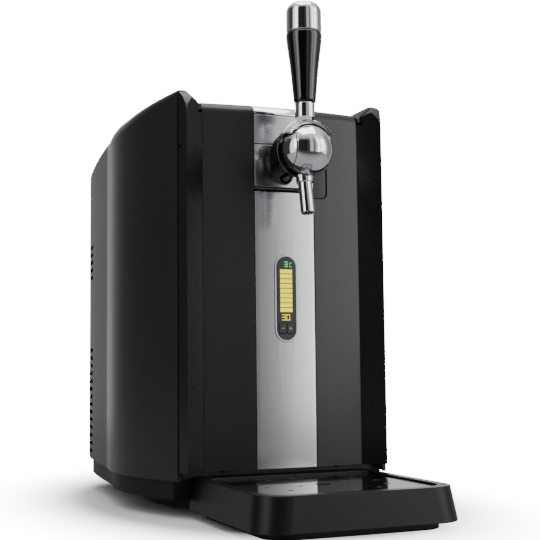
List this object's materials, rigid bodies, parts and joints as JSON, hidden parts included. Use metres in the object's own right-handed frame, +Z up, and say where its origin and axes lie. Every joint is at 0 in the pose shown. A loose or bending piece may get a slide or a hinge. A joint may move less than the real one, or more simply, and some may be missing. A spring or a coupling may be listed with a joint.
{
  "type": "mini keg beer dispenser",
  "caption": "Countertop cooler for a small beer keg: flared body on a plinth, hinged front door with a ball tap and upright handle, display strip, and a drip tray that slides out.",
  "frame": {"origin": "under the middle of the bounding box, at the table", "axes": "+Z up, the front with the tap and the tray faces -Y, +X to the right seen from the front"},
  "size_m": [0.2562, 0.5052, 0.4445],
  "materials": {
    "gloss_black": "polished black",
    "rubber": "matt",
    "plinth": "matt black",
    "board": "satin green",
    "panel": "satin black",
    "shell": "satin charcoal",
    "rear_shell": "satin dark grey",
    "steel": "brushed",
    "aluminium": "satin",
    "silver": "satin silver",
    "liner": "satin light grey",
    "chrome": "polished",
    "foam": "matt foam",
    "ceramic": "matt white"
  },
  "bodies": {
    "base": {"right_side_shell": "shell", "left_side_shell": "shell", "top_cover": "shell", "rear_cover": "rear_shell", "plinth": "plinth", "foot_1": "rubber", "foot_2": "rubber", "foot_3": "rubber", "foot_4": "rubber", "keg_chamber": "liner", "insulation_jacket": "foam", "chamber_frame": "plinth", "catch_magnet": "steel", "air_nozzle": "steel", "temperature_sensor": "steel", "lower_hinge_lug": "steel", "upper_hinge_lug": "steel", "cold_plate": "aluminium", "thermoelectric_module": "ceramic", "heat_sink": "aluminium", "fan_frame": "plinth", "power_supply": "aluminium", "control_board": "board", "air_pump": "steel", "pressure_hose": "rubber", "power_inlet": "plinth"},
    "door": {"left_front_panel": "panel", "right_front_panel": "panel", "carrier_side_plate": "gloss_black", "lower_strip": "silver", "tap_carrier": "silver", "upper_strip": "silver", "strip_cap": "chrome", "left_band": "panel", "right_band": "panel", "door_inner_pan": "liner", "door_insulation": "foam", "door_gasket": "rubber", "catch_strike": "steel", "line_guide": "rubber", "display_rim": "chrome", "display_window": "gloss_black", "display_module": "plinth", "tap_core": "gloss_black", "tap_horn": "gloss_black", "spout": "chrome"},
    "lever": {"right_hub_cap": "chrome", "left_hub_cap": "chrome", "lever_saddle": "chrome", "lever_neck": "chrome", "lever_grip": "gloss_black", "lever_cap": "chrome"},
    "visor": {"tap_visor": "chrome"},
    "minus_key": {"minus_key": "gloss_black"},
    "plus_key": {"plus_key": "gloss_black"},
    "tray": {"drip_tray": "shell"},
    "grid": {"drip_grid": "gloss_black"},
    "fan_rotor": {"fan_rotor": "plinth"},
    "power_rocker": {"power_rocker": "panel"}
  },
  "joints": [
    {"name": "door_hinge", "type": "hinge", "parent": "base", "child": "door", "pos_m": [-0.0945, -0.10014, 0.195], "axis": [0, 0, -1], "range_deg": [0, 100]},
    {"name": "tap_lever", "type": "hinge", "parent": "door", "child": "lever", "pos_m": [0, -0.14664, 0.314], "axis": [1, 0, 0], "range_deg": [0, 35]},
    {"name": "visor_swing", "type": "hinge", "parent": "door", "child": "visor", "pos_m": [0, -0.14664, 0.314], "axis": [-1, 0, 0], "range_deg": [0, 80]},
    {"name": "minus_key_press", "type": "slide", "parent": "door", "child": "minus_key", "axis": [0, 1, 0], "range_m": [0, 0.0008], "stiffness_N_per_m": 400},
    {"name": "plus_key_press", "type": "slide", "parent": "door", "child": "plus_key", "axis": [0, 1, 0], "range_m": [0, 0.0008], "stiffness_N_per_m": 400},
    {"name": "tray_slide", "type": "slide", "parent": "base", "child": "tray", "axis": [0, -1, 0], "range_m": [0, 0.06]},
    {"name": "grid_lift", "type": "slide", "parent": "tray", "child": "grid", "axis": [0, 0, 1], "range_m": [0, 0.025]},
    {"name": "fan_spin", "type": "hinge", "parent": "base", "child": "fan_rotor", "pos_m": [0, 0.16736, 0.205], "axis": [0, 1, 0], "continuous": true},
    {"name": "power_rocker_tilt", "type": "hinge", "parent": "base", "child": "power_rocker", "pos_m": [-0.0217, 0.24846, 0.0635], "axis": [1, 0, 0], "range_deg": [-9, 9]}
  ]
}
